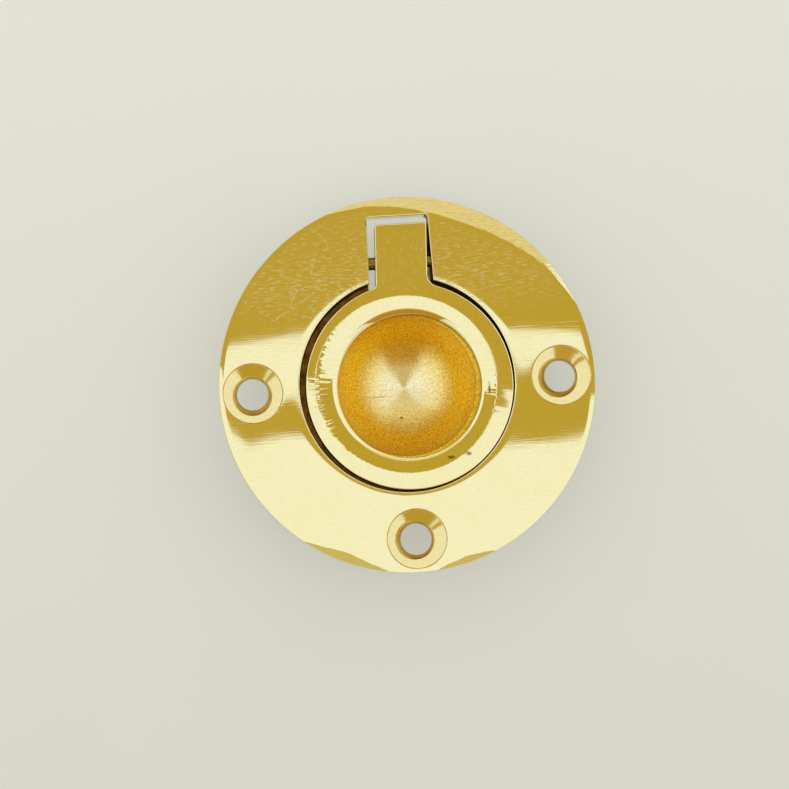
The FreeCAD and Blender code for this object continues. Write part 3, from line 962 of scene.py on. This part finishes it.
@dataclass
class PullRing:
    """The ring and its tang in one piece, flat in front and rounded into the hole.

    Sizes are in millimetres and degrees, about the middle of the ring. Lip and round_over are widths and
    drops. Streaks are places where the buff's strokes are long: angle, half spread and length.
    """

    centre: Point = RING_MIDDLE
    outer_radius: float = 10.49
    inner_radius: float = 7.3
    back: float = 0.2
    face: float = 3.0
    lip: Point = (0.44, 0.22)
    lip_shift: Point = (-0.1, 0.16)
    round_over: Point = (1.2, 0.13)
    crease: float = 2.9
    crease_width: float = 0.06
    crown: float = 0.03
    fall: float = 0.0007
    fall_from: float = 1.0
    streaks: tuple[tuple[float, float, float], ...] = ((205.0, 34.0, 0.26), (145.0, 50.0, 0.05))
    streak_pitch: float = 1.7
    streak_seed: float = 3.7
    fine_streaks: float = 0.05
    widened: tuple[float, float, float] = (165.0, 85.0, 0.55)
    edge: float = 0.12
    back_chamfer: float = 0.2
    side: Point = (2.4, 1.0)
    pin_y: float = 12.62
    pin_z: float = 1.75
    bore_radius: float = 0.71
    bore_reach: float = 6.0
    tang_left: float = -2.715
    tang_right: float = 2.535
    tang_tail: float = 3.85
    tang_lean: float = 2.5
    tang_corner: float = 0.35
    left_root: float = 0.4
    right_root: float = 1.3
    wall_steps: int = 5
    flat_steps: int = 10
    back_steps: int = 5

    def root(self, side: float, radius: float, hand: int) -> tuple[Point, float, float]:
        """The fillet between a side of the tang and the rim of the ring.

        Args:
            side: Where that side crosses the height of the pin.
            radius: The fillet's radius.
            hand: 1 for the right side and -1 for the left.

        Returns:
            The fillet's centre, and the angles where it meets the rim and the side, in degrees.
        """
        lean = math.radians(self.tang_lean)
        along = Vector((math.sin(lean), math.cos(lean)))
        across = Vector((math.cos(lean), -math.sin(lean))) * hand
        start = Vector((side, self.pin_y)) + across * radius
        reach = self.outer_radius + radius
        nearest = start.dot(along)
        slide = -nearest + math.sqrt(reach**2 - (start.length_squared - nearest**2))
        centre = start + along * slide
        rim = math.degrees(math.atan2(-centre.y, -centre.x))
        wall = math.degrees(math.atan2(-across.y, -across.x))
        return (centre.x, centre.y), rim, wall

    def outline(self) -> list[Point]:
        """The ring and tang seen from the front, counter-clockwise, about the middle of the ring."""
        lean = math.tan(math.radians(self.tang_lean))
        cosine = math.cos(math.radians(self.tang_lean))
        left_centre, left_rim, left_wall = self.root(self.tang_left, self.left_root, -1)
        right_centre, right_rim, right_wall = self.root(self.tang_right, self.right_root, 1)
        start = math.degrees(math.atan2(left_centre[1], left_centre[0]))
        end = math.degrees(math.atan2(right_centre[1], right_centre[0])) + 360
        corner = self.tang_corner
        top = self.pin_y + self.tang_tail
        shift = (self.tang_tail - corner) * lean
        high_right = (self.tang_right + shift - corner / cosine, top - corner)
        high_left = (self.tang_left + shift + corner / cosine, top - corner)
        right_root = arc(right_centre, self.right_root, right_rim % 360, right_wall % 360, steps=10)
        left_end = left_rim % 360 - 360 * (left_rim > 0)
        left_root = arc(left_centre, self.left_root, left_wall % 360, left_end, steps=10)
        right_corner = arc(high_right, corner, -self.tang_lean, 90, steps=8)
        left_corner = arc(high_left, corner, 90, 180 - self.tang_lean, steps=8)
        points = arc((0.0, 0.0), self.outer_radius, start, end, steps=560)[:-1] + right_root
        points += line(right_root[-1], right_corner[0], steps=40)[1:-1] + right_corner
        points += line(right_corner[-1], left_corner[0], steps=30)[1:-1] + left_corner
        points += line(left_corner[-1], left_root[0], steps=40)[1:-1] + left_root[:-1]
        return points

    def hole_loops(self, spokes: Sequence[Vector], strokes: Sequence[float]) -> list[Sequence[Vector]]:
        """The loops up the wall of the hole and over its lip, which is off centre, to the flat.

        Args:
            spokes: Directions from the middle of the ring.
            strokes: How far the buff has shifted the rounding outward at each spoke.

        Returns:
            The loops.
        """
        lip_width, lip_drop = self.lip
        width, drop = self.round_over
        shift = Vector(self.lip_shift)
        lip_z = self.face - drop
        # the round-over meets the flat, filed later, in a slight crease
        steep = 2 * math.degrees(math.atan2(drop, width)) - self.crease
        bow = width / (math.sin(math.radians(steep)) - math.sin(math.radians(self.crease)))
        middle = (bow * math.sin(math.radians(steep)), -drop - bow * math.cos(math.radians(steep)))
        over = arc(middle, bow, 90 + steep, 90 + self.crease, steps=22)
        # the lip bends from the slope of the round-over to the edge of the wall
        bend = 2 * math.degrees(math.atan2(lip_drop, lip_width)) - steep
        lip_bow = lip_width / (math.sin(math.radians(bend)) - math.sin(math.radians(steep)))
        curve = arc((0.0, 0.0), lip_bow, 90 + bend, 90 + steep, steps=8)
        shares = [((x - curve[0][0]) / lip_width, (z - curve[-1][1]) / lip_drop) for x, z in curve]
        inner, edge = self.inner_radius, self.inner_radius + lip_width
        foot = (inner, self.back + self.back_chamfer)

        columns = []
        for spoke, stroke in zip(spokes, strokes):
            aside = spoke.dot(shift)
            spread = aside**2 - shift.length_squared

            def out(radius: float) -> float:
                """How far out along the spoke a circle round the lip's own middle lies."""
                return aside + math.sqrt(radius**2 + spread)

            reach = out(edge) - inner
            wall_top = lip_z - lip_drop * reach / lip_width
            places = line(foot, (inner, wall_top), self.wall_steps)
            places += [(inner + reach * u, lip_z + (lip_z - wall_top) * v) for u, v in shares[1:]]
            places += [(out(edge + x + stroke * x / width), self.face + z) for x, z in over[1:]]
            columns.append([(spoke * r).to_3d() + Vector((0, 0, height)) for r, height in places])
        return list(zip(*columns))

    def stroke(self, turn: float) -> float:
        """How far the strokes of the buff have shifted the rounding outward at an angle, in millimetres."""
        reach = self.fine_streaks
        for towards, spread, depth in self.streaks:
            reach += depth * ramp(between(turn, towards), spread, 0.0)
        towards, spread, depth = self.widened
        bias = depth * eased(ramp(between(turn, towards), spread, 0.0))
        return bias + reach * noise.noise(Vector((turn / self.streak_pitch, self.streak_seed, 0.0)))

    def rim_section(self) -> list[Point]:
        """Inset and height from the flat over the outer edge and down to the back."""
        top = self.face - self.crown
        points = [
            (self.edge * (1 - math.sin(t)), top - self.edge * (1 - math.cos(t)))
            for t in (math.radians(d) for d in (0, 22.5, 45, 67.5, 90))
        ]
        high, low = self.side
        points += line((0.0, high), (0.0, low), steps=4)
        return points + [(0.0, self.back + self.back_chamfer), (self.back_chamfer, self.back)]

    def build(self, finishes: Sequence[Material]) -> Object:
        """Make the ring's mesh.

        Args:
            finishes: The brass finishes by Region.

        Returns:
            The piece.
        """
        outline = [Vector(point) for point in self.outline()]
        following = outline[1:] + outline[:1]
        before = outline[-1:] + outline[:-1]
        tangents = [after - past for after, past in zip(following, before)]
        outward = [Vector((t.y, -t.x)).normalized() for t in tangents]
        spokes = [p.normalized() for p in outline]
        strokes = [self.stroke(math.degrees(math.atan2(s.y, s.x))) for s in spokes]
        rim = self.rim_section()

        def within(inset: float) -> list[Vector]:
            """The outline set in by a distance."""
            return [p - n * inset for p, n in zip(outline, outward)]

        loops = self.hole_loops(spokes, strokes)
        regions = [Region.FILED] * self.wall_steps + [Region.RING] * (len(loops) - self.wall_steps)
        inner_flat = [point.to_2d() for point in loops[-1]]
        outer_flat = within(rim[0][0])
        for step in range(self.flat_steps):
            loop = []
            for p, q in zip(inner_flat, outer_flat):
                # the first loop lies close to the crease, to keep it narrow
                share = step / self.flat_steps if step else self.crease_width / (q - p).length
                loop.append(p.lerp(q, share).to_3d() + Vector((0, 0, self.face - self.crown * share)))
            loops.append(loop)
            regions.append(Region.RING)
        for inset, height in rim:
            loops.append(raised(within(inset), height))
            regions.append(Region.RING if height > self.face - 1.1 * self.edge else Region.FILED)
        outer_back = within(rim[-1][0])
        inner_back = [s * (self.inner_radius + self.back_chamfer) for s in spokes]
        for step in range(1, self.back_steps + 1):
            share = step / self.back_steps
            loops.append(raised((q.lerp(p, share) for p, q in zip(inner_back, outer_back)), self.back))
            regions.append(Region.FILED)
        offset = Vector((*self.centre, 0.0))
        grid = bmesh.new()
        loft(grid, [[point + offset for point in loop] for loop in loops], regions, True)
        self.file_face(grid)
        piece = mesh_piece("ring_with_tang", grid, finishes)

        grid = bmesh.new()
        bore = arc((self.pin_y + self.centre[1], self.pin_z), self.bore_radius, 0, 360, steps=40)[:-1]
        ends = [[Vector((x, y, z)) for y, z in bore] for x in (-self.bore_reach, self.bore_reach)]
        loft(grid, ends, [Region.FILED] * len(ends), False)
        cut(piece, mesh_piece("reamer", grid, finishes))
        shade(piece)
        return piece

    def file_face(self, grid: BMesh) -> None:
        """Let the front fall away a little from the end of the tang, as the file left it."""
        top = self.pin_y + self.centre[1] + self.tang_tail
        for vertex in grid.verts:
            share = ramp(vertex.co.z, self.fall_from, self.face - self.round_over[1] - 2 * self.lip[1])
            vertex.co.z -= share * self.fall * (top - vertex.co.y)


@dataclass
class HingePin:
    """A length of brass wire that lies in the plate's groove."""

    node: str = "hinge_pin"

    def dress(self, finish: Material) -> None:
        """Give the CAD node its finish."""
        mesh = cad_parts[self.node].data
        mesh.materials.clear()
        mesh.materials.append(finish)
        LOG.info("%s: %d faces", self.node, len(mesh.polygons))


# The studio


class CardColour(Enum):
    """Colours of the cards that the brass mirrors."""

    GOLD = "#C8AC46"
    PALE_GOLD = "#EFE2B4"
    OLIVE = "#D6C882"
    AMBER = "#C09232"


@dataclass(frozen=True)
class Card:
    """A level card over the object, in millimetres.

    Its first corners are given by the places of the face that mirror them, and the rest where they hang.
    """

    name: str
    colour: CardColour
    mirrored: tuple[Point, ...] = ()
    corners: tuple[Point, ...] = ()


CARDS = (
    # ends where the face turns from dark gold to bright
    Card(
        "overhead_card",
        CardColour.GOLD,
        ((-18.5, 5.5), (-9.8, 6.0), (0.0, 5.7), (10.7, 5.7), (18.6, 4.4)),
        (
            (76.0, 27.5), (260.0, 9.0), (250.0, 120.0), (200.0, 200.0), (120.0, 235.0), (-120.0, 245.0),
            (-230.0, 130.0), (-323.0, 95.0), (-188.0, 70.0), (-70.0, 47.0), (-24.0, 37.0),
        ),
    ),
    # stands behind it, for what leans away from the camera
    Card(
        "far_card",
        CardColour.PALE_GOLD,
        corners=(
            (200.0, 200.0), (330.0, 330.0), (500.0, 1000.0), (-900.0, 1000.0),
            (-700.0, 600.0), (-250.0, 400.0), (-120.0, 245.0), (120.0, 235.0),
        ),
    ),
    # makes the dark band across the middle of the face
    Card(
        "strip_card",
        CardColour.GOLD,
        (
            (-19.0, 0.0), (-11.5, 0.1), (11.8, 1.05), (20.0, 1.1), (20.0, -5.2),
            (18.0, -5.4), (11.0, -5.7), (-11.5, -3.6), (-15.8, -4.4), (-18.5, -2.4),
        ),
    ),
    # the two front cards darken a wedge of the cup and the facets at the lower rim
    Card(
        "front_card",
        CardColour.OLIVE,
        corners=((-230.0, -215.0), (300.0, -215.0), (295.0, -335.0), (-215.0, -335.0)),
    ),
    Card(
        "front_card_far",
        CardColour.AMBER,
        corners=((-215.0, -335.0), (295.0, -335.0), (1450.0, -2600.0), (-1350.0, -2600.0)),
    ),
)


@dataclass
class Studio:
    """A pale table, a camera that looks down, and a bright ceiling with cards that the brass mirrors."""

    face: float
    table: float
    distance: float = 420.0
    lean_x: float = -2.6
    lean_y: float = -3.1
    roll: float = 3.6
    picture: int = 789
    pixel: float = 0.1008
    centre_pixel: Point = (407.4, 384.2)
    card_height: float = 600.0
    ceiling_height: float = 620.0
    ceiling_reach: Point = (2400.0, 2000.0)
    ceiling_front: float = -650.0
    table_reach: float = 3000.0
    table_glow: float = 0.5
    table_mottle: float = 14.0
    # the two near tones, and a lighter one that it goes over to between these distances from the middle, a
    # painted light brighter towards the back
    table_tones: tuple[str, str, str] = ("#DEE0D8", "#DCDED5", "#E8EAE3")
    table_painted_light: Point = (-40.0, 40.0)

    def camera_place(self) -> Vector:
        """Where the camera stands, in millimetres."""
        lean = Vector((math.tan(math.radians(self.lean_x)), math.tan(math.radians(self.lean_y)), 1.0))
        return Vector((0.0, 0.0, self.face)) + lean.normalized() * self.distance

    def mirrored(self, x: float, y: float) -> Point:
        """Where the cards' height is met by the camera's ray, mirrored in the face at a place."""
        eye = self.camera_place()
        share = (self.card_height - self.face) / (eye.z - self.face)
        return (x + (x - eye.x) * share, y + (y - eye.y) * share)

    def camera(self) -> None:
        """Make the camera at the photograph's viewing angle."""
        eye = self.camera_place()
        target = Vector((0.0, 0.0, self.face))
        back = (eye - target).normalized()
        roll = math.radians(self.roll)
        up = Vector((math.sin(roll), math.cos(roll), 0.0))
        right = up.cross(back).normalized()
        up = back.cross(right)
        data = bpy.data.cameras.new("camera")
        data.lens = data.sensor_width * self.distance / (self.picture * self.pixel)
        data.clip_start = 10 * MM
        data.clip_end = 10.0
        aim = Vector((self.picture / 2 - self.centre_pixel[0], self.centre_pixel[1] - self.picture / 2))
        place = eye + right * (aim.x * self.pixel) + up * (aim.y * self.pixel)
        camera = bpy.data.objects.new("camera", data)
        turn = Matrix((right, up, back)).transposed().to_4x4()
        camera.matrix_world = Matrix.Translation(place * MM) @ turn
        bpy.context.scene.collection.objects.link(camera)
        bpy.context.scene.camera = camera

    def sheet(self, name: str, height: float, corners: Iterable[Point], material: Material) -> None:
        """Add a level sheet to the studio.

        Args:
            name: What it is.
            height: How high it lies, in millimetres.
            corners: Its corners in order, in millimetres.
            material: Its material.
        """
        mesh = bpy.data.meshes.new(name)
        places = [(x * MM, y * MM, height * MM) for x, y in corners]
        mesh.from_pydata(places, [], [tuple(range(len(places)))])
        mesh.materials.append(material)
        sheet = bpy.data.objects.new(name, mesh)
        bpy.context.scene.collection.objects.link(sheet)

    def glow(self, name: str, colour: str, strength: float) -> Material:
        """A light-giving sheet's material."""
        material, tree = new_material(name)
        light = add_node(tree, "Emission", {"Color": linear(colour), "Strength": strength})
        add_node(tree, "OutputMaterial", {"Surface": light})
        return material

    def floor(self) -> None:
        """Lay the pale table, which glows a little to the eye, is painted lighter towards the back, and still
        takes the shadow.
        """
        material, tree = new_material("table, matt paint")
        place = add_node(tree, "TexCoord").outputs["Object"]
        pale, mottled, painted_light_tone = (linear(tone) for tone in self.table_tones)
        mottle = {"Scale": per_mm(self.table_mottle), "Detail": 3.0}
        patches = add_node(tree, "TexNoise", {**mottle, "Vector": place})
        upward = add_node(tree, "SeparateXYZ", {0: place}).outputs["Y"]
        start, full = (distance * MM for distance in self.table_painted_light)
        # painted light: the table grows lighter towards the back
        far = add_node(tree, "MapRange", {"From Min": start, "From Max": full, "Value": upward})
        near = add_node(tree, "Mix", {"data_type": "RGBA", 0: patches, 6: pale, 7: mottled})
        tone = add_node(tree, "Mix", {"data_type": "RGBA", 0: far, 6: near, 7: painted_light_tone})
        paint = add_node(tree, "BsdfPrincipled", {"Roughness": 0.9, "Base Color": tone})
        light = add_node(tree, "Emission", {"Strength": 1.0, "Color": tone})
        rays = add_node(tree, "LightPath").outputs
        seen = rays["Is Camera Ray"]
        for kind in ("Is Glossy Ray", "Is Transmission Ray"):
            seen = add_node(tree, "Math", {"operation": "MAXIMUM", 0: seen, 1: rays[kind]})
        share = add_node(tree, "Math", {"operation": "MULTIPLY", 0: seen, 1: self.table_glow})
        mixed = add_node(tree, "MixShader", {0: share, 1: paint, 2: light})
        add_node(tree, "OutputMaterial", {"Surface": mixed})
        reach = self.table_reach
        corners = [(-reach, -reach), (reach, -reach), (reach, reach), (-reach, reach)]
        self.sheet("table", self.table, corners, material)

    def lights(self) -> None:
        """Hang the bright ceiling and the cards, and set the room's own light."""
        x, y = self.ceiling_reach
        corners = [(-x, self.ceiling_front), (x, self.ceiling_front), (x, y), (-x, y)]
        daylight = self.glow("ceiling, soft daylight", "#FCFFFD", 1.08)
        self.sheet("ceiling", self.ceiling_height, corners, daylight)
        glows = {}
        for colour in CardColour:
            name = colour.name.lower().replace("_", " ")
            glows[colour] = self.glow(f"card, {name}", colour.value, 1.0)
        for card in CARDS:
            corners = [self.mirrored(*place) for place in card.mirrored] + list(card.corners)
            self.sheet(card.name, self.card_height, corners, glows[card.colour])
        world = bpy.data.worlds.new("room")
        world.use_nodes = True
        tree = world.node_tree
        tree.nodes.clear()
        light = add_node(tree, "Background", {"Color": linear("#E8E3D0"), "Strength": 1.05})
        add_node(tree, "OutputWorld", {"Surface": light})
        bpy.context.scene.world = world


def main() -> None:
    """Build and dress the pieces in order, then set the studio round them."""
    logging.basicConfig(level=logging.INFO, format="%(message)s")
    low, high = (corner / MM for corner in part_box("backplate"))
    finishes = [FINISHES[region].material() for region in Region]

    plate = Backplate(radius=high.x, face=high.z)
    settle(plate.build(finishes), "plate", "backplate")
    settle(PullRing().build(finishes), "ring", "pull_ring")
    HingePin().dress(finishes[Region.WIRE])

    studio = Studio(face=high.z, table=low.z)
    studio.camera()
    studio.floor()
    studio.lights()
    bpy.context.scene.view_settings.view_transform = "Standard"


if __name__ == "__main__":
    main()
